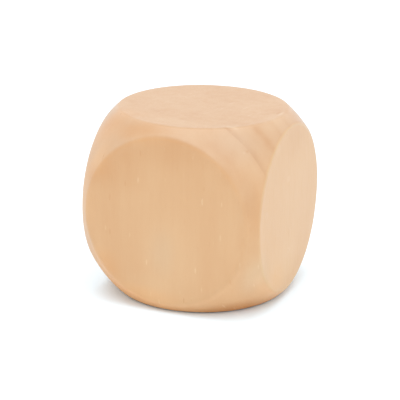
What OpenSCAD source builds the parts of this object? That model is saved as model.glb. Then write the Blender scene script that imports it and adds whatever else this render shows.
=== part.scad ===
// Plain wooden die: a cube turned round by a ball, so that each side keeps a round flat and the
// corners and edges are parts of one ball. The rim of every flat is sanded over.
// Millimetres, +Z up, the grain runs along Z, origin at the middle of the flat it rests on.

/* [Cube] */
// Distance between two opposite flats
edge = 30; // [12:0.5:60]

/* [Rounding] */
// Depth the ball takes off the middle of every cube edge
edge_relief = 1.05; // [0.65:0.05:2]
// Radius sanded along the rim of every flat
rim_radius = 1.2; // [0.2:0.05:1.5]

/* [Hidden] */
$fn = 96;

half = edge / 2;
ball_radius = half * sqrt(2) - edge_relief;

// The sanded rim meets the flat and the ball a little short of tangent, as paper in the hand leaves it
rim_lap = 3;
// Middle of the rim's arc: height over the middle of the die, then distance from the flat's axis
rim_rise = half - rim_radius * cos(rim_lap);
rim_reach = sqrt(pow(ball_radius, 2) + pow(rim_radius, 2) - 2 * ball_radius * rim_radius * cos(rim_lap));
rim_out = sqrt(pow(rim_reach, 2) - pow(rim_rise, 2));

// Axis of each flat, as turns about X and about Y from straight up
FLATS = [[0, 0, 0], [180, 0, 0], [90, 0, 0], [-90, 0, 0], [0, 90, 0], [0, -90, 0]];

wood = [0.88, 0.72, 0.55];

// Sharp corner between a flat and the ball, outside the sanded arc, turned about the flat's axis
module rim_waste() {
    clear = 3 * rim_radius;
    rotate_extrude()
        difference() {
            polygon([
                [rim_out, rim_rise],
                [rim_out, rim_rise + clear],
                [rim_out + clear, rim_rise + clear],
                [rim_out * (1 + clear / rim_reach), rim_rise * (1 + clear / rim_reach)]
            ]);
            translate([rim_out, rim_rise]) circle(rim_radius);
        }
}

// The die, one solid piece of wood
module die() {
    color(wood)
        translate([0, 0, half])
            difference() {
                intersection() {
                    cube(edge, center = true);
                    sphere(ball_radius);
                }
                for (turn = FLATS) rotate(turn) rim_waste();
            }
}

die();
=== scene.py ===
"""Plain wooden die on a pale floor.

The die is a cube cut round by a ball: every side keeps a round flat, and the rim of each flat is sanded over.
Its grain runs upright, so the top and bottom show end grain, and the sides show fibres, ray flecks and growth
rings.
"""

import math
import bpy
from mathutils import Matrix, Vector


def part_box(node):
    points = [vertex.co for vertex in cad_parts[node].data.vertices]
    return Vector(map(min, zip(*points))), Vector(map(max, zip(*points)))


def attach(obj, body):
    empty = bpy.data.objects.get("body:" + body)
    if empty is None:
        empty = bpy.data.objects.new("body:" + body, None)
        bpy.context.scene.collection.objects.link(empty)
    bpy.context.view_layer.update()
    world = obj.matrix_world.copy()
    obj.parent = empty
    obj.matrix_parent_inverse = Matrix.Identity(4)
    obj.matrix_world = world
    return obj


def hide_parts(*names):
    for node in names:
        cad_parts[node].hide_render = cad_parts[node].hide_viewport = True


bl_info = {
    "name": "Plain wooden die",
    "version": (1, 0, 0),
    "blender": (4, 5, 0),
    "location": "3D Viewport > Sidebar > Wooden die",
    "description": "Builds a blank wooden die with round flats, its grain, and a pale stage to show it on",
    "category": "Object",
}

import bpy
from bpy.props import FloatProperty, FloatVectorProperty, IntProperty, PointerProperty
from mathutils import Matrix, Vector

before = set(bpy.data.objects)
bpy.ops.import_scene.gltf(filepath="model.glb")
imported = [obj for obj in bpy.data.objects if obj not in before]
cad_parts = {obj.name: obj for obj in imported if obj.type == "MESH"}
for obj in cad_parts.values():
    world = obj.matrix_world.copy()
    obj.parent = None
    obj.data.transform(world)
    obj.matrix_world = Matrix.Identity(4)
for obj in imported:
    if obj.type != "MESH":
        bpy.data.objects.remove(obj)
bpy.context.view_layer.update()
DIE_LOW, DIE_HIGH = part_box("die")
EDGE = DIE_HIGH[2] - DIE_LOW[2]

MM = 1000

# Side of the picture in pixels, and width of the camera's sensor in millimetres
IMAGE_SIDE = 400
SENSOR = 36.0
# Nearest thing that the camera shows, in metres
CLIP_START = 0.01

# Softboxes of the stage: place of the middle and side, in metres
SOFTBOXES = {
    "over": ((0.03, -0.06, 0.33), 0.40),
    "right": ((0.38, -0.10, 0.28), 0.35),
}
# Half the floor's side in metres, and how matt its paper is
FLOOR_REACH = 2
FLOOR_ROUGHNESS = 0.9

# Rings of the grid from the middle of a flat to the cube's edge, and where the rim starts and ends among them
RINGS = 56
FLAT_RINGS = 36
RIM_RINGS = 46
# Slack for telling the rings and the axes of the grid apart, and what keeps a division from zero
SLACK = 1e-4
TINY = 1e-6
# Sanding: how fine its patches and waves are, what sets the waves' noise apart, and the least rim it leaves
SANDING_PATCHES = 2.2
SANDING_WAVES = 1.3
WAVE_SEED = 7.3
LEAST_RIM = 0.3
# Noise seldom leaves the middle half of its range, so this brings it to about -1 to 1
NOISE_SPREAD = 4.0
# How far from a rim its wear reaches, in metres
RIM_WEAR = 0.0011


class NodeDesk:
    """Adds nodes to one tree and wires them, one short call for each."""

    def __init__(self, tree):
        self.tree = tree

    def add(self, kind, label="", **settings):
        node = self.tree.nodes.new(kind)
        node.label = label
        for name, value in settings.items():
            setattr(node, name, value)
        return node

    def feed(self, socket, value):
        """Links a socket to value, or sets it where value is a constant."""
        if isinstance(value, bpy.types.NodeSocket):
            self.tree.links.new(value, socket)
        else:
            socket.default_value = value

    def math(self, operation, *values, label="", clamp=False):
        node = self.add("ShaderNodeMath", label, operation=operation, use_clamp=clamp)
        for socket, value in zip(node.inputs, values):
            self.feed(socket, value)
        return node.outputs[0]

    def times(self, a, b, label=""):
        return self.math("MULTIPLY", a, b, label=label)

    def plus(self, a, b, label=""):
        return self.math("ADD", a, b, label=label)

    def minus(self, a, b, label=""):
        return self.math("SUBTRACT", a, b, label=label)

    def added(self, base, amount, weight):
        """Base, with amount times weight added to it."""
        return self.math("MULTIPLY_ADD", amount, weight, base)

    def vector(self, operation, *values, label=""):
        node = self.add("ShaderNodeVectorMath", label, operation=operation)
        for socket, value in zip(node.inputs, values):
            self.feed(socket, value)
        return node.outputs["Value" if operation == "LENGTH" else "Vector"]

    def parts(self, vector):
        node = self.add("ShaderNodeSeparateXYZ")
        self.feed(node.inputs[0], vector)
        return node.outputs[0], node.outputs[1], node.outputs[2]

    def joined(self, x, y, z):
        node = self.add("ShaderNodeCombineXYZ")
        for socket, value in zip(node.inputs, (x, y, z)):
            self.feed(socket, value)
        return node.outputs[0]

    def span(self, value, low, high, to_low=0.0, to_high=1.0, smooth=True, label=""):
        """Maps value from low..high to to_low..to_high, held at both ends."""
        kind = "SMOOTHSTEP" if smooth else "LINEAR"
        node = self.add("ShaderNodeMapRange", label, interpolation_type=kind, clamp=True)
        ends = {"Value": value, "From Min": low, "From Max": high, "To Min": to_low, "To Max": to_high}
        for name, end in ends.items():
            self.feed(node.inputs[name], end)
        return node.outputs[0]

    def noise(self, vector, scale, detail=2.0, roughness=0.5, seed=None, label=""):
        node = self.add("ShaderNodeTexNoise", label, noise_dimensions="3D" if seed is None else "4D")
        self.feed(node.inputs["Vector"], vector)
        self.feed(node.inputs["Scale"], scale)
        self.feed(node.inputs["Detail"], detail)
        self.feed(node.inputs["Roughness"], roughness)
        if seed is not None:
            self.feed(node.inputs["W"], seed)
        return node

    def mix(self, factor, a, b):
        """Blends two colours."""
        node = self.add("ShaderNodeMix", data_type="RGBA", clamp_factor=True)
        self.feed(node.inputs[0], factor)
        self.feed(node.inputs[6], a)
        self.feed(node.inputs[7], b)
        return node.outputs[2]

    def choose(self, test, no, yes):
        node = self.add("GeometryNodeSwitch", input_type="FLOAT")
        for socket, value in zip(node.inputs, (test, no, yes)):
            self.feed(socket, value)
        return node.outputs[0]


class DieShape(bpy.types.PropertyGroup):
    """Sizes of the die."""

    edge: FloatProperty(
        name="Edge", description="Distance between two opposite flats", default=EDGE, unit="LENGTH",
        precision=5
    )
    edge_relief: FloatProperty(
        name="Edge relief", description="Depth the ball takes off the middle of every cube edge",
        default=0.00105, unit="LENGTH", precision=5
    )
    rim_radius: FloatProperty(
        name="Rim radius", description="Radius sanded along the rim of every flat", default=0.0012,
        unit="LENGTH", precision=5
    )
    rim_change: FloatProperty(
        name="Rim change", description="Share by which sanding by hand changes the rim from place to place",
        default=0.22, subtype="FACTOR"
    )
    waviness: FloatProperty(
        name="Waviness", description="Depth of the slow waves that sanding leaves", default=0.000035,
        unit="LENGTH", precision=6
    )
    seed: IntProperty(name="Seed", description="Picks another piece of sanding", default=3)


class DieWood(bpy.types.PropertyGroup):
    """Colours and measures of the wood."""

    side: FloatVectorProperty(
        name="Side grain", description="Wood cut along the fibres", size=3, subtype="COLOR",
        default=(0.552, 0.3145, 0.1515)
    )
    quarter: FloatVectorProperty(
        name="Quarter grain", description="Wood cut along the rays", size=3, subtype="COLOR",
        default=(0.562, 0.3190, 0.1415)
    )
    # Upper slants: partly the colour of wood cut at a slant, partly painted shade
    slant: FloatVectorProperty(
        name="Upper slants", description="Wood cut at a slant, facing up", size=3, subtype="COLOR",
        default=(0.470, 0.2900, 0.1640)
    )
    # Lower slants: brighter than the sides, as painted light from the floor
    low_slant_painted_light: FloatVectorProperty(
        name="Lower slants", description="Wood cut at a slant, facing down", size=3, subtype="COLOR",
        default=(0.660, 0.3715, 0.182)
    )
    end: FloatVectorProperty(
        name="End grain", description="Wood cut across the fibres", size=3, subtype="COLOR",
        default=(0.446, 0.276, 0.152)
    )
    absorbed: FloatVectorProperty(
        name="Absorbed", description="Red, green and blue that one step of tone takes away", size=3,
        default=(0.09, 0.20, 0.32)
    )
    warming: FloatVectorProperty(
        name="Warming", description="Red, green and blue that a warm place adds", size=3,
        default=(0.05, 0.0, -0.08)
    )
    pith: FloatVectorProperty(
        name="Pith", description="Where the middle of the trunk was, across the grain from the die's middle",
        size=2, subtype="XYZ", unit="LENGTH", default=(0.0129, 0.0285)
    )
    ring_start: FloatProperty(
        name="Ring line", description="Distance of one growth ring from the pith", default=0.0396,
        unit="LENGTH", precision=5
    )
    ring_width: FloatProperty(
        name="Ring width", description="Growth of one year", default=0.00325, unit="LENGTH", precision=5
    )
    roughness: FloatProperty(
        name="Roughness", description="Roughness of the sanded wood", default=0.35, subtype="FACTOR"
    )


class DieStage(bpy.types.PropertyGroup):
    """Floor, light and camera."""

    floor: FloatVectorProperty(
        name="Floor", description="Colour of the floor", size=3, subtype="COLOR", default=(0.79, 0.90, 0.98)
    )
    tent: FloatProperty(
        name="Light tent", description="Brightness of the white tent around the die", default=1.235
    )
    over: FloatProperty(
        name="Softbox overhead", description="Brightness of the softbox over the die", default=1.41
    )
    right: FloatProperty(
        name="Softbox at the right", description="Brightness of the softbox at the right", default=0.237
    )
    turn: FloatProperty(
        name="Turn", description="How far the camera stands to the right of the front",
        default=math.radians(22.48), subtype="ANGLE"
    )
    rise: FloatProperty(
        name="Rise", description="How far the camera looks down", default=math.radians(18.03), subtype="ANGLE"
    )
    roll: FloatProperty(
        name="Roll", description="Tilt of the picture", default=math.radians(0.71), subtype="ANGLE"
    )
    reach: FloatProperty(
        name="Distance", description="Camera to the middle of the die, in half edges", default=18.98
    )
    focal: FloatProperty(
        name="Focal length", description="Focal length in pixels of the picture", default=1766.0
    )
    aim: FloatVectorProperty(
        name="Aim", size=2, default=(2.39, -4.72),
        description="Where the die's middle falls, right of and below the picture's middle, in pixels"
    )


class DieSettings(bpy.types.PropertyGroup):
    """All that a user would change."""

    shape: PointerProperty(type=DieShape)
    wood: PointerProperty(type=DieWood)
    stage: PointerProperty(type=DieStage)


def die_tree():
    """Geometry Nodes tree of the die: the grid of a cube, laid on its flats, the sanded rims and the ball."""
    tree = bpy.data.node_groups.new("Die from cube and ball", "GeometryNodeTree")
    for name in ("Edge", "Edge relief", "Rim radius", "Rim change", "Waviness", "Seed"):
        tree.interface.new_socket(name=name, in_out="INPUT", socket_type="NodeSocketFloat")
    tree.interface.new_socket(name="Wood", in_out="INPUT", socket_type="NodeSocketMaterial")
    tree.interface.new_socket(name="Die", in_out="OUTPUT", socket_type="NodeSocketGeometry")
    n = NodeDesk(tree)
    given = n.add("NodeGroupInput").outputs

    # Grid of a cube with half side 1: a point's ring round the nearest axis, and its turn within that ring
    cube = n.add("GeometryNodeMeshCube", "Grid")
    cube.inputs["Size"].default_value = (2, 2, 2)
    for axis in "XYZ":
        cube.inputs["Vertices " + axis].default_value = 2 * RINGS + 1
    spot = n.add("GeometryNodeInputPosition").outputs[0]
    x, y, z = n.parts(spot)
    ax, ay, az = n.parts(n.vector("ABSOLUTE", spot))
    major = n.math("MAXIMUM", n.math("MAXIMUM", ax, ay), az)
    minor = n.math("MINIMUM", n.math("MINIMUM", ax, ay), az)
    ring = n.minus(n.plus(n.plus(ax, ay), az), n.plus(major, minor), label="Ring")
    turn = n.math("DIVIDE", minor, n.math("MAXIMUM", ring, TINY))
    turn = n.times(turn, math.pi / 4, label="Turn in the flat")
    turn_cos = n.math("COSINE", turn)
    turn_sin = n.math("SINE", turn)

    # The rim's arc lies between the flat and the ball, and sanding by hand makes its radius uneven
    half = n.times(given["Edge"], 0.5)
    ball = n.minus(n.times(half, math.sqrt(2)), given["Edge relief"], label="Ball radius")
    change = n.noise(spot, SANDING_PATCHES, 1.0, seed=given["Seed"], label="Hand sanding").outputs[0]
    change = n.times(n.minus(change, 0.5), n.times(given["Rim change"], NOISE_SPREAD))
    change = n.math("MAXIMUM", n.plus(change, 1.0), LEAST_RIM)
    rim = n.times(given["Rim radius"], change, label="Rim radius here")
    rise = n.minus(half, rim)
    reach = n.minus(ball, rim)
    out = n.math("SQRT", n.minus(n.times(reach, reach), n.times(rise, rise)), label="Flat radius")
    rim_in = n.math("ARCTAN2", out, half)
    rim_end = n.math("ARCTAN2", out, rise)

    # Tilt away from the axis, seen from the die's middle, on each of the three surfaces
    flat_share = FLAT_RINGS / RINGS
    rim_share = RIM_RINGS / RINGS
    on_flat = n.math("ARCTAN2", n.times(out, n.math("DIVIDE", ring, flat_share)), half)
    on_rim = n.span(ring, flat_share, rim_share, rim_in, rim_end, smooth=False)
    edge_tilt = n.math("ARCTANGENT", n.math("DIVIDE", 1.0, turn_cos))
    on_ball = n.span(ring, rim_share, 1.0, rim_end, edge_tilt, smooth=False)
    past_flat = n.math("GREATER_THAN", ring, flat_share + SLACK)
    past_rim = n.math("GREATER_THAN", ring, rim_share + SLACK)
    tilt = n.choose(past_rim, n.choose(past_flat, on_flat, on_rim), on_ball)
    tilt_cos = n.math("COSINE", tilt)
    tilt_sin = n.math("SINE", tilt)

    # Distance from the die's middle at that tilt, then the place along the three axes
    along = n.plus(n.times(tilt_sin, out), n.times(tilt_cos, rise))
    root = n.plus(n.minus(n.times(along, along), n.times(reach, reach)), n.times(rim, rim))
    to_rim = n.plus(along, n.math("SQRT", n.math("MAXIMUM", root, 0.0)))
    away = n.choose(past_rim, n.choose(past_flat, n.math("DIVIDE", half, tilt_cos), to_rim), ball)
    lifted = n.times(away, tilt_cos)
    sideways = n.times(away, tilt_sin)
    middle = n.times(sideways, turn_cos)
    least = n.times(sideways, turn_sin)
    place = []
    for value, size in ((x, ax), (y, ay), (z, az)):
        is_major = n.math("GREATER_THAN", size, n.minus(major, SLACK))
        is_minor = n.math("LESS_THAN", size, n.plus(minor, SLACK))
        length = n.choose(is_major, n.choose(is_minor, middle, least), lifted)
        place.append(n.times(n.math("SIGN", value), length))
    place[2] = n.plus(place[2], half)

    past = n.math("MAXIMUM", n.minus(rim_in, tilt), n.minus(tilt, rim_end))
    near_rim = n.span(n.times(past, ball), 0.0, RIM_WEAR, 1.0, 0.0, label="Near a rim")
    kept = n.add("GeometryNodeStoreNamedAttribute", data_type="FLOAT", domain="POINT")
    n.feed(kept.inputs["Geometry"], cube.outputs["Mesh"])
    kept.inputs["Name"].default_value = "rim"
    n.feed(kept.inputs["Value"], near_rim)

    moved = n.add("GeometryNodeSetPosition")
    n.feed(moved.inputs["Geometry"], kept.outputs[0])
    n.feed(moved.inputs["Position"], n.joined(*place))
    smooth = n.add("GeometryNodeSetShadeSmooth")
    n.feed(smooth.inputs[0], moved.outputs[0])

    # Sanding waves only take wood away, so the die stays within its box
    facing = n.add("GeometryNodeInputNormal").outputs[0]
    wave_seed = n.plus(given["Seed"], WAVE_SEED)
    wave = n.noise(spot, SANDING_WAVES, 2.0, seed=wave_seed, label="Sanding waves").outputs[0]
    depth = n.times(n.times(wave, given["Waviness"]), -1.0)
    sanded = n.add("GeometryNodeSetPosition")
    n.feed(sanded.inputs["Geometry"], smooth.outputs[0])
    n.feed(sanded.inputs["Offset"], n.vector("MULTIPLY", facing, n.joined(depth, depth, depth)))

    turned = n.add("GeometryNodeStoreNamedAttribute", data_type="FLOAT_VECTOR", domain="POINT")
    n.feed(turned.inputs["Geometry"], sanded.outputs[0])
    turned.inputs["Name"].default_value = "facing"
    n.feed(turned.inputs["Value"], n.add("GeometryNodeInputNormal").outputs[0])

    real = n.add("GeometryNodeRealizeInstances")
    n.feed(real.inputs[0], turned.outputs[0])
    painted = n.add("GeometryNodeSetMaterial")
    n.feed(painted.inputs["Geometry"], real.outputs[0])
    n.feed(painted.inputs["Material"], given["Wood"])
    n.feed(n.add("NodeGroupOutput").inputs[0], painted.outputs[0])
    return tree


# Clouds and marks in the wood: middle and half size in millimetres from the die's middle, and how much
# darker. Most are the wood's own tone; the ones marked below are painted light and shade
CLOUDS = (
    ((-5.5, -13.3, 13.9), (8.5, 2.2, 2.2), 0.36),
    ((-12.0, -9.5, 13.2), (3.6, 3.6, 2.4), 0.28),
    ((-12.0, -13.5, 9.0), (3.4, 2.4, 4.5), -0.40),
    ((3.8, -13.6, 14.2), (5.0, 2.2, 2.0), -0.25),
    ((9.6, -10.6, 14.3), (4.5, 3.6, 2.2), -0.30),
    ((13.2, -3.0, 14.2), (2.8, 7.0, 2.4), -0.55),
    ((11.5, -11.4, 10.6), (5.0, 3.8, 5.0), -0.28),
    ((10.2, -13.1, 11.4), (1.8, 1.5, 2.0), 0.22),
    ((14.0, -11.0, 9.4), (2.0, 2.5, 3.0), -0.22),
    ((2.5, -10.5, 15.0), (11.0, 3.0, 0.8), -0.28),
    ((-2.2, -5.5, 15.0), (5.0, 3.5, 0.8), 0.22),
    ((-8.1, -8.8, 15.0), (4.0, 3.0, 0.8), -0.18),
    # The next two darken the front flat below its top rim: painted shade
    ((1.5, -15.0, 12.4), (11.0, 0.5, 5.5), 0.50),
    ((-7.0, -15.0, 8.5), (6.5, 0.5, 6.5), 0.46),
    ((-10.0, -15.0, 2.5), (3.4, 0.5, 9.5), 0.22),
    ((-11.0, -15.0, 7.5), (3.6, 0.5, 4.5), 0.30),
    ((-12.6, -14.6, 5.8), (2.0, 1.2, 3.2), 0.32),
    ((4.2, -15.0, 7.1), (3.2, 0.5, 3.2), 0.14),
    ((-7.5, -15.0, 10.3), (3.0, 0.5, 2.6), 0.18),
    ((10.0, -14.9, 8.9), (3.0, 0.8, 3.0), 0.20),
    # The next two make the front flat paler low down, near the floor: painted light
    ((1.0, -15.0, -6.5), (7.0, 0.5, 11.0), -0.42),
    ((-3.0, -15.0, -11.4), (5.5, 0.5, 3.6), -0.28),
    ((-10.5, -15.0, -9.0), (3.5, 0.6, 4.0), 0.22),
    ((10.4, -15.0, 0.0), (2.6, 0.5, 8.0), -0.20),
    ((14.0, -13.8, 4.2), (2.0, 2.4, 6.0), 0.44),
    ((14.2, -12.4, -7.0), (3.0, 3.4, 5.5), -0.46),
    # Darker at the foot of the front corner: painted contact shade
    ((10.0, -9.8, -14.2), (9.5, 6.0, 2.4), 1.05),
    # The next two make the right flat darker at the top and paler low down: painted shade and painted light
    ((15.0, 2.5, 11.2), (1.0, 8.0, 5.0), 0.30),
    ((15.0, -3.0, -9.0), (1.0, 9.5, 6.5), -0.34),
    ((15.0, -0.1, -4.1), (1.5, 0.3, 0.9), 0.35),
    ((12.5, -7.4, 13.9), (1.6, 1.6, 1.8), 0.18),
    ((14.0, -7.4, 12.2), (1.6, 1.6, 2.0), 0.18),
    ((9.0, -9.8, 15.0), (1.5, 0.5, 0.6), -0.60),
    ((8.2, -10.6, 14.9), (1.4, 0.3, 0.6), 0.60),
    ((11.6, -11.7, 11.8), (0.35, 0.35, 0.35), -0.40),
    ((11.9, -11.2, 11.9), (0.35, 0.35, 0.35), 0.60),
    ((12.4, 0.8, 15.0), (0.4, 1.8, 0.8), 0.80),
    ((12.9, 0.6, 15.0), (0.4, 1.6, 0.8), -0.70),
    # The next two darken the ball low at the left, near the floor: painted shade
    ((-13.8, -13.0, -7.0), (4.5, 3.0, 9.0), 0.50),
    ((-11.5, -11.5, -12.5), (6.5, 4.5, 5.0), 0.80),
    ((14.4, -10.5, -9.5), (1.2, 3.0, 3.5), -0.30),
)

# Warmer and cooler places in the wood: middle and half size in the same way, and how much warmer. Most are
# the wood's own tone; the ones marked below are painted shade
WARMTH = (
    ((-11.5, -10.0, 12.5), (9.0, 4.6, 6.0), 1.4),
    ((-5.0, -13.8, 13.6), (9.0, 2.6, 2.6), 0.9),
    ((-12.2, -13.9, 8.4), (5.0, 2.0, 5.0), 1.1),
    ((-14.0, -12.0, 1.0), (4.0, 5.0, 9.0), 0.6),
    # Warmer low on the ball at the left, with the darker clouds there: painted shade
    ((-11.5, -11.5, -12.5), (6.5, 4.5, 5.0), 0.7),
    ((14.4, -10.5, -9.5), (1.6, 3.5, 4.0), 0.6),
    ((-11.0, -14.6, -9.0), (5.0, 1.5, 5.0), 0.9),
    # Warmer along the front near the foot: painted contact shade
    ((-5.5, -13.8, -13.0), (12.0, 3.5, 3.2), 1.5),
    ((-0.4, -15.0, -5.0), (3.2, 0.6, 5.5), -0.7),
    ((15.0, -5.5, -10.5), (1.0, 5.0, 4.0), 0.7),
    ((10.0, -11.0, 13.0), (7.0, 5.0, 4.0), -0.5),
    ((13.2, -14.0, 5.0), (2.5, 2.0, 5.0), -0.5),
    ((14.0, -12.0, -8.0), (4.0, 5.0, 6.0), -0.9),
)

# Corner where the growth rings show as clear lines: middle and half size in the same way
CLEAR_RINGS = ((12.0, -9.0, 12.5), (15.0, 13.0, 12.0))
# Share of each cloud that is its even heart
HEART = 0.15
# Where in a year's growth the dark late wood lies, and the year that ended sharply
LATE_WOOD = 0.88
SHARP_YEAR = -0.2

# How far the fibres wander across the grain, in millimetres
WANDER = (0.7, 0.7, 0)
# Length of a ray up the grain and depth of it out from the pith, in millimetres
RAY_HEIGHT = 4.6
RAY_DEPTH = 7.0
# Vessels in a millimetre: both ways across the grain, and along it
VESSELS = (2.6, 2.6, 0.3)
# Height of the painted contact shade at the foot, in millimetres
FOOT_SHADE_HEIGHT = 1.8

# Noises of the wood: squeeze up the grain, patches in a millimetre, detail and roughness
NOISES = {
    "Fibres wander": (0.35, 0.11, 2.0, 0.5),
    "Where rings show": (0.3, 0.12, 1.0, 0.5),
    "Broken lines": (1.0, 0.45, 2.0, 0.5),
    "Uneven years": (1.0, 0.28, 1.0, 0.5),
    "Haze": (0.3, 0.16, 2.0, 0.5),
    "Streaks": (0.08, 0.75, 3.0, 0.5),
    "Fibres": (0.09, 4.0, 3.0, 0.6),
    "Rim wear": (1.0, 0.5, 2.0, 0.5),
    "Sanding marks": (6.0, 3.0, 2.0, 0.5),
}

# How a value becomes a share or a weight: its low and high end, and what they become
SPANS = {
    "cut square": (0.65, 0.98, 0.0, 1.0),
    "line grows": (0.60, 0.97, 0.0, 1.0),
    "line stops": (0.98, 1.0, 1.0, 0.0),
    "line breaks": (0.35, 0.6, 0.5, 1.0),
    "beside the sharp year": (0.25, 0.5, 1.0, 0.08),
    "uneven years": (0.35, 0.65, 0.35, 1.0),
    "rings in patches": (0.35, 0.62, 0.3, 1.0),
    "rings on slants": (0.1, 0.8, 0.25, 1.0),
    "inside a ray": (0.08, 0.16, 1.0, 0.0),
    "dark and pale rays": (0.1, 0.9, 0.45, -1.0),
    "inside a vessel": (0.06, 0.20, 1.0, 0.0),
    "rim wear": (0.3, 0.7, -0.05, 0.10),
    "rim turned up or down": (0.0005, 0.015, 0.0, 1.0),
    "haze to end grain": (0.0, 1.0, 0.5, 1.1),
    "streaks to end grain": (0.0, 1.0, 0.42, 1.20),
    "fibres to quarter grain": (0.0, 1.0, 0.28, 0.10),
    "rays to quarter grain": (0.0, 1.0, 0.90, 0.15),
    "vessels off side grain": (0.0, 1.0, 0.20, 0.08),
}

# How far end grain counts as a slanting cut for the rings, how clear they are in it, and outside their corner
END_RINGS_CUT = 0.4
END_RINGS = 0.75
FAINT_RINGS = 0.2

# What the streaks' weight loses in quarter grain, and the fibres' weight in end grain
QUARTER_STREAKS = -0.25
END_FIBRES = -0.16

# How much each thing darkens the wood, or warms it. The foot's share is painted contact shade; the rim
# highlight's share is negative, a painted highlight that makes the side flats' rims paler where they turn up
# or down, and cooler where they face up
DARKER = {"late wood": 0.38, "ring line": 0.50, "slanting rim": -0.12, "rim highlight": -0.45, "foot_shade": 0.6}
WARMER = {"ring line": -0.5, "rim turned up": -1.2}

# How much each thing adds to the roughness, and to the height of the grain
ROUGHER = {"fibres": 0.20, "end grain": 0.03, "lower slants": 0.25, "rays": -0.05, "rims": -0.03}
HIGHER = {"fibres": 0.5, "vessels": -0.5, "rays": 0.25, "sanding marks": 0.25}
# Strength of the grain's relief, its depth in metres, and how the finish bends light
RELIEF_STRENGTH = 0.35
RELIEF_DEPTH = 0.00003
FINISH_IOR = 1.5


def wood_noise(n, place, name):
    """One of the wood's noises, squeezed up the grain."""
    squeeze, scale, detail, roughness = NOISES[name]
    return n.noise(n.vector("MULTIPLY", place, (1, 1, squeeze)), scale, detail, roughness, label=name)


def grain_space(n, wood, edge):
    """Places in the wood, in millimetres: from the die's middle, along the wandering fibres, out from the
    pith and round it."""
    placed = n.add("ShaderNodeMapping", "Millimetres from the middle")
    placed.inputs["Scale"].default_value = (MM, MM, MM)
    placed.inputs["Location"].default_value = (0, 0, -MM * edge / 2)
    n.feed(placed.inputs["Vector"], n.add("ShaderNodeTexCoord").outputs["Object"])
    spot = placed.outputs[0]
    wander = n.vector("SUBTRACT", wood_noise(n, spot, "Fibres wander").outputs["Color"], (0.5, 0.5, 0.5))
    fibre = n.vector("MULTIPLY_ADD", wander, WANDER, spot)
    pith = (wood.pith[0] * MM, wood.pith[1] * MM, 0)
    across = n.vector("MULTIPLY", n.vector("SUBTRACT", fibre, pith), (1, 1, 0))
    out = n.vector("LENGTH", across, label="Out from the pith")
    x, y, _ = n.parts(across)
    angle = n.math("ARCTAN2", x, n.times(y, -1.0))
    around = n.times(angle, wood.ring_start * MM, label="Round the pith")
    return spot, fibre, out, around


def cloud_mask(n, spot, centre, radii):
    """1 in the middle of a soft egg-shaped cloud, 0 outside it."""
    offset = n.vector("DIVIDE", n.vector("SUBTRACT", spot, centre), radii)
    return n.span(n.vector("LENGTH", offset), HEART, 1.0, 1.0, 0.0)


def growth_rings(n, wood, spot, out, slant, ends):
    """Soft waves of late wood, the line where one year ended sharply, and how well the rings show."""
    year = n.math("DIVIDE", n.minus(out, wood.ring_start * MM), wood.ring_width * MM, label="Year")
    season = n.math("FRACT", year, label="Season")
    wave = n.math("COSINE", n.times(n.minus(season, LATE_WOOD), 2 * math.pi))
    late = n.math("POWER", n.added(0.5, wave, 0.5), 2.0, label="Late wood")
    line = n.math("POWER", n.span(season, *SPANS["line grows"]), 2.0)
    line = n.times(line, n.span(season, *SPANS["line stops"]), label="Ring line")

    # They show in patches, best on a slanting cut and in one corner
    shows = n.span(wood_noise(n, spot, "Where rings show").outputs[0], *SPANS["rings in patches"])
    cut = n.math("MAXIMUM", slant, n.times(ends, END_RINGS_CUT))
    shows = n.times(shows, n.span(cut, *SPANS["rings on slants"]))
    clear = n.added(FAINT_RINGS, cloud_mask(n, spot, *CLEAR_RINGS), 1.0 - FAINT_RINGS)
    shows = n.times(shows, n.math("MAXIMUM", clear, n.times(ends, END_RINGS)))

    # The years beside the sharp one fade into each other
    broken = n.span(wood_noise(n, spot, "Broken lines").outputs[0], *SPANS["line breaks"])
    beside = n.math("ABSOLUTE", n.minus(year, SHARP_YEAR))
    broken = n.times(broken, n.span(beside, *SPANS["beside the sharp year"]))
    line = n.times(n.times(line, broken), shows, label="Clear ring line")
    late = n.times(late, n.span(wood_noise(n, spot, "Uneven years").outputs[0], *SPANS["uneven years"]))
    return n.times(late, shows), line


def ray_plates(n, fibre, out, around):
    """Thin plates out from the pith: short lines on the front and back, flecks on the left and right."""
    rays = n.add("ShaderNodeTexVoronoi", "Rays", feature="F1")
    height = n.math("DIVIDE", n.parts(fibre)[2], RAY_HEIGHT)
    n.feed(rays.inputs["Vector"], n.joined(around, height, n.math("DIVIDE", out, RAY_DEPTH)))
    rays.inputs["Scale"].default_value = 1.0
    plate = n.span(rays.outputs["Distance"], *SPANS["inside a ray"])
    shade = n.span(n.parts(rays.outputs["Color"])[0], *SPANS["dark and pale rays"])
    return plate, n.times(plate, shade, label="Dark and pale rays")


def vessel_lines(n, fibre):
    """Fine dark lines along the fibres, dots in the end grain."""
    tubes = n.add("ShaderNodeTexVoronoi", "Vessels", feature="F1")
    n.feed(tubes.inputs["Vector"], n.vector("MULTIPLY", fibre, VESSELS))
    tubes.inputs["Scale"].default_value = 1.0
    return n.span(tubes.outputs["Distance"], *SPANS["inside a vessel"])


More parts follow.
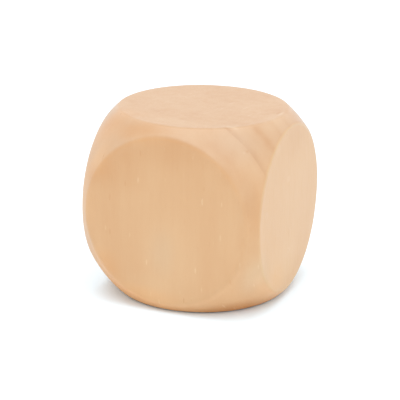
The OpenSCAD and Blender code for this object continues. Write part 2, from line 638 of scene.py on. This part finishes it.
def wood_material(wood, edge):
    """Bare, fine sanded wood: a colour for each way the fibres are cut, with painted light and shade on the
    slants, the foot and some rims, and one tone that darkens it.
    """
    material = bpy.data.materials.new("Sanded wood")
    material.use_nodes = True
    material.node_tree.nodes.clear()
    n = NodeDesk(material.node_tree)
    spot, fibre, out, around = grain_space(n, wood, edge)

    # How the surface cuts the fibres
    rim = n.add("ShaderNodeAttribute", attribute_name="rim").outputs["Fac"]
    facing = n.add("ShaderNodeAttribute", attribute_name="facing").outputs["Vector"]
    sideways, _, upright = n.parts(n.vector("MULTIPLY", facing, facing))
    upward = n.math("GREATER_THAN", n.parts(facing)[2], 0.0, label="Facing up")
    ends = n.span(upright, *SPANS["cut square"], label="Fibres cut across")
    quarter = n.span(sideways, *SPANS["cut square"], label="Rays cut along")
    slant = n.times(n.times(upright, n.minus(1.0, upright)), 4.0, label="Fibres cut at a slant")
    # Painted highlight: the side flats' rims where they turn up or down, made paler in the tone below
    turned = n.span(upright, *SPANS["rim turned up or down"])
    turned = n.times(n.times(rim, quarter), turned, label="Flat's rim, turned up or down")

    late, line = growth_rings(n, wood, spot, out, slant, ends)
    plate, ray = ray_plates(n, fibre, out, around)
    vessel = vessel_lines(n, fibre)
    # Streaks along the fibres, from broad to fine
    haze = wood_noise(n, fibre, "Haze").outputs[0]
    streak = wood_noise(n, fibre, "Streaks").outputs[0]
    hair = wood_noise(n, fibre, "Fibres").outputs[0]
    hair_tone = n.minus(hair, 0.5)
    worn = n.span(wood_noise(n, spot, "Rim wear").outputs[0], *SPANS["rim wear"])

    broad = n.span(ends, *SPANS["streaks to end grain"])
    broad = n.added(broad, quarter, QUARTER_STREAKS)
    fine = n.span(quarter, *SPANS["fibres to quarter grain"])
    fine = n.added(fine, ends, END_FIBRES)
    rayed = n.span(quarter, *SPANS["rays to quarter grain"])
    piped = n.span(n.math("MAXIMUM", quarter, ends), *SPANS["vessels off side grain"])
    # Painted contact shade: the foot is darker and warmer than the rest, apart from its end grain
    floor = -MM * edge / 2
    foot_shade = n.span(n.parts(spot)[2], floor, floor + FOOT_SHADE_HEIGHT, 1.0, 0.0)
    foot_shade = n.times(foot_shade, n.minus(1.0, ends), label="Foot")
    tone = n.times(n.minus(haze, 0.5), n.span(ends, *SPANS["haze to end grain"]))
    for amount, weight in (
        (n.minus(streak, 0.5), broad),
        (hair_tone, fine),
        (late, DARKER["late wood"]),
        (line, DARKER["ring line"]),
        (ray, rayed),
        (vessel, piped),
        (rim, worn),
        (n.times(rim, slant), DARKER["slanting rim"]),
        (turned, DARKER["rim highlight"]),
        (foot_shade, DARKER["foot_shade"]),
    ):
        tone = n.added(tone, amount, weight)
    for centre, radii, darker in CLOUDS:
        tone = n.added(tone, cloud_mask(n, spot, centre, radii), darker)

    # Slants that face up are duller than the sides, partly their own colour and partly painted shade; slants
    # that face down are brighter, as painted light from the floor
    leaning = n.math("MAXIMUM", slant, n.math("GREATER_THAN", upright, 0.5))
    colour = n.mix(leaning, (*wood.side, 1), n.mix(upward, (*wood.low_slant_painted_light, 1), (*wood.slant, 1)))
    colour = n.mix(quarter, colour, (*wood.quarter, 1))
    colour = n.mix(ends, colour, (*wood.end, 1))
    taken = [-share for share in wood.absorbed]
    kept = n.vector("MULTIPLY_ADD", n.joined(tone, tone, tone), taken, (1, 1, 1), label="Light kept")
    # Warmer at the foot, as part of its painted contact shade, and cooler on rims turned up, as part of their
    # painted highlight
    warmth = n.added(foot_shade, line, WARMER["ring line"])
    warmth = n.added(warmth, n.times(turned, upward), WARMER["rim turned up"])
    for centre, radii, warmer in WARMTH:
        warmth = n.added(warmth, cloud_mask(n, spot, centre, radii), warmer)
    warmed = n.joined(warmth, warmth, warmth)
    kept = n.vector("MULTIPLY_ADD", warmed, wood.warming, kept, label="Warmer and cooler")
    colour = n.vector("MULTIPLY", colour, kept)

    rough = n.added(wood.roughness, hair_tone, ROUGHER["fibres"])
    rough = n.added(rough, ends, ROUGHER["end grain"])
    rough = n.added(rough, n.times(slant, n.minus(1.0, upward)), ROUGHER["lower slants"])
    rough = n.added(rough, plate, ROUGHER["rays"])
    rough = n.math("MULTIPLY_ADD", rim, ROUGHER["rims"], rough, clamp=True)

    marks = wood_noise(n, spot, "Sanding marks").outputs[0]
    relief = n.times(hair, HIGHER["fibres"])
    relief = n.added(relief, vessel, HIGHER["vessels"])
    relief = n.added(relief, plate, HIGHER["rays"])
    relief = n.added(relief, marks, HIGHER["sanding marks"])
    bump = n.add("ShaderNodeBump", "Grain relief")
    bump.inputs["Strength"].default_value = RELIEF_STRENGTH
    bump.inputs["Distance"].default_value = RELIEF_DEPTH
    n.feed(bump.inputs["Height"], relief)

    shader = n.add("ShaderNodeBsdfPrincipled")
    n.feed(shader.inputs["Base Color"], colour)
    n.feed(shader.inputs["Roughness"], rough)
    n.feed(shader.inputs["Normal"], bump.outputs[0])
    shader.inputs["IOR"].default_value = FINISH_IOR
    n.feed(n.add("ShaderNodeOutputMaterial").inputs["Surface"], shader.outputs[0])
    return material


class WOODEN_DIE_OT_make_die(bpy.types.Operator):
    """Builds the die and its wood"""

    bl_idname = "wooden_die.make_die"
    bl_label = "Make the die"

    def execute(self, context):
        settings = context.scene.wooden_die
        shape = settings.shape
        mesh = bpy.data.meshes.new("wooden_die")
        piece = bpy.data.objects.new("wooden_die", mesh)
        context.scene.collection.objects.link(piece)
        tree = die_tree()
        maker = piece.modifiers.new("Die", "NODES")
        maker.node_group = tree
        values = {
            "Edge": shape.edge,
            "Edge relief": shape.edge_relief,
            "Rim radius": shape.rim_radius,
            "Rim change": shape.rim_change,
            "Waviness": shape.waviness,
            "Seed": float(shape.seed),
            "Wood": wood_material(settings.wood, shape.edge),
        }
        for socket in tree.interface.items_tree:
            if socket.in_out == "INPUT":
                maker[socket.identifier] = values[socket.name]
        graph = context.evaluated_depsgraph_get()
        shown = piece.evaluated_get(graph)
        made = bpy.data.meshes.new_from_object(shown, preserve_all_data_layers=True, depsgraph=graph)
        piece.modifiers.remove(maker)
        piece.data = made
        made.name = "wooden_die"
        bpy.data.meshes.remove(mesh)
        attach(piece, "root")
        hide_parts("die")
        return {"FINISHED"}


class WOODEN_DIE_OT_make_stage(bpy.types.Operator):
    """Adds the floor, the light and the camera"""

    bl_idname = "wooden_die.make_stage"
    bl_label = "Make the stage"

    def execute(self, context):
        scene = context.scene
        stage = scene.wooden_die.stage
        half = scene.wooden_die.shape.edge / 2
        middle = Vector((0, 0, half))

        mesh = bpy.data.meshes.new("floor")
        corners = [(x * FLOOR_REACH, y * FLOOR_REACH, 0) for x, y in ((-1, -1), (1, -1), (1, 1), (-1, 1))]
        mesh.from_pydata(corners, [], [(0, 1, 2, 3)])
        floor = bpy.data.objects.new("floor", mesh)
        scene.collection.objects.link(floor)
        paper = bpy.data.materials.new("Floor paper")
        paper.use_nodes = True
        shader = paper.node_tree.nodes["Principled BSDF"]
        shader.inputs["Base Color"].default_value = (*stage.floor, 1)
        shader.inputs["Roughness"].default_value = FLOOR_ROUGHNESS
        shader.inputs["Specular IOR Level"].default_value = 0.0
        mesh.materials.append(paper)

        world = bpy.data.worlds.new("Light tent")
        world.use_nodes = True
        background = world.node_tree.nodes["Background"]
        background.inputs["Color"].default_value = (1, 1, 1, 1)
        background.inputs["Strength"].default_value = stage.tent
        scene.world = world
        scene.view_settings.view_transform = "Standard"

        for name, (place, side) in SOFTBOXES.items():
            lamp = bpy.data.lights.new("Softbox " + name, "AREA")
            lamp.shape = "SQUARE"
            lamp.size = side
            lamp.energy = getattr(stage, name) * math.pi * side ** 2
            softbox = bpy.data.objects.new(lamp.name, lamp)
            softbox.location = place
            softbox.rotation_euler = (middle - Vector(place)).to_track_quat("-Z", "Y").to_euler()
            scene.collection.objects.link(softbox)

        level = math.cos(stage.rise)
        back = Vector((math.sin(stage.turn) * level, -math.cos(stage.turn) * level, math.sin(stage.rise)))
        right = Vector((math.cos(stage.turn), math.sin(stage.turn), 0))
        up = back.cross(right)
        side = right * math.cos(stage.roll) + up * math.sin(stage.roll)
        top = up * math.cos(stage.roll) - right * math.sin(stage.roll)
        # The view turns a little, so that the die's middle falls where it does in the picture
        ahead = -back - side * (stage.aim[0] / stage.focal) + top * (stage.aim[1] / stage.focal)
        ahead.normalize()
        side = ahead.cross(top).normalized()
        top = side.cross(ahead)
        data = bpy.data.cameras.new("Camera")
        data.sensor_width = SENSOR
        data.lens = stage.focal * SENSOR / IMAGE_SIDE
        data.clip_start = CLIP_START
        camera = bpy.data.objects.new("Camera", data)
        place = middle + back * stage.reach * half
        camera.matrix_world = Matrix.Translation(place) @ Matrix((side, top, -ahead)).transposed().to_4x4()
        scene.collection.objects.link(camera)
        scene.camera = camera
        return {"FINISHED"}


class WOODEN_DIE_PT_sidebar(bpy.types.Panel):
    """Lists the steps and their settings"""

    bl_idname = "WOODEN_DIE_PT_sidebar"
    bl_label = "Wooden die"
    bl_space_type = "VIEW_3D"
    bl_region_type = "UI"
    bl_category = "Wooden die"

    def draw(self, context):
        settings = context.scene.wooden_die
        steps = {
            "wooden_die.make_die": (settings.shape, settings.wood),
            "wooden_die.make_stage": (settings.stage,),
        }
        for step, groups in steps.items():
            box = self.layout.box()
            for values in groups:
                for name in values.__annotations__:
                    box.prop(values, name)
            box.operator(step)


CLASSES = (
    DieShape, DieWood, DieStage, DieSettings,
    WOODEN_DIE_OT_make_die, WOODEN_DIE_OT_make_stage, WOODEN_DIE_PT_sidebar,
)


def register():
    for cls in CLASSES:
        bpy.utils.register_class(cls)
    bpy.types.Scene.wooden_die = PointerProperty(type=DieSettings)


def unregister():
    del bpy.types.Scene.wooden_die
    for cls in reversed(CLASSES):
        bpy.utils.unregister_class(cls)


def main():
    register()
    bpy.ops.wooden_die.make_die()
    bpy.ops.wooden_die.make_stage()


if __name__ == "__main__":
    main()
